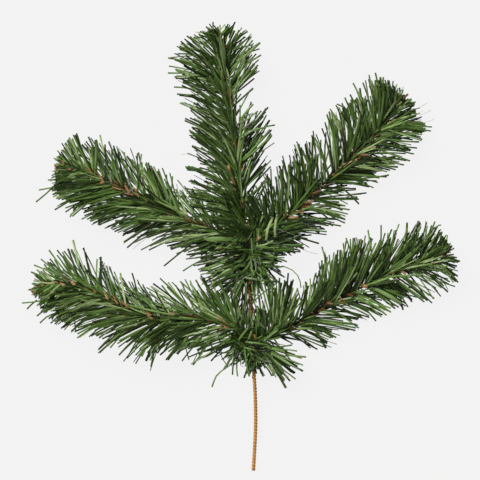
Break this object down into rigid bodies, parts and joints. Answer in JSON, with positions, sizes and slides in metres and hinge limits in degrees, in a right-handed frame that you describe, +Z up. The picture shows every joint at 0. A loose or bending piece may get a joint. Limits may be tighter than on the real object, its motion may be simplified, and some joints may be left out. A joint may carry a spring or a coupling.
{
  "type": "artificial pine branch",
  "caption": "Artificial pine branch: brush-like sprigs of swept green needles, bound in two tiers to a twisted wire stem with a cut end, lying flat on a surface.",
  "frame": {"origin": "centre of the outer box, on the surface that the branch lies on", "axes": "+Z up from the surface, +Y towards the top sprig's end, -Y towards the stem's cut end"},
  "size_m": [0.3437, 0.3539, 0.0556],
  "materials": {
    "stem_wire": "satin golden-brown coating",
    "core_wire": "satin brown coating",
    "binding_tape": "matt wound tape",
    "needle_film": "satin plastic film"
  },
  "bodies": {
    "root": {"stem": "stem_wire", "upper_binding": "binding_tape", "lower_binding": "binding_tape", "top_sprig_wire": "core_wire", "upper_left_sprig_wire": "core_wire", "upper_right_sprig_wire": "core_wire", "lower_left_sprig_wire": "core_wire", "lower_right_sprig_wire": "core_wire", "top_sprig_needles": "needle_film", "upper_left_sprig_needles": "needle_film", "upper_right_sprig_needles": "needle_film", "lower_left_sprig_needles": "needle_film", "lower_right_sprig_needles": "needle_film"}
  },
  "joints": []
}
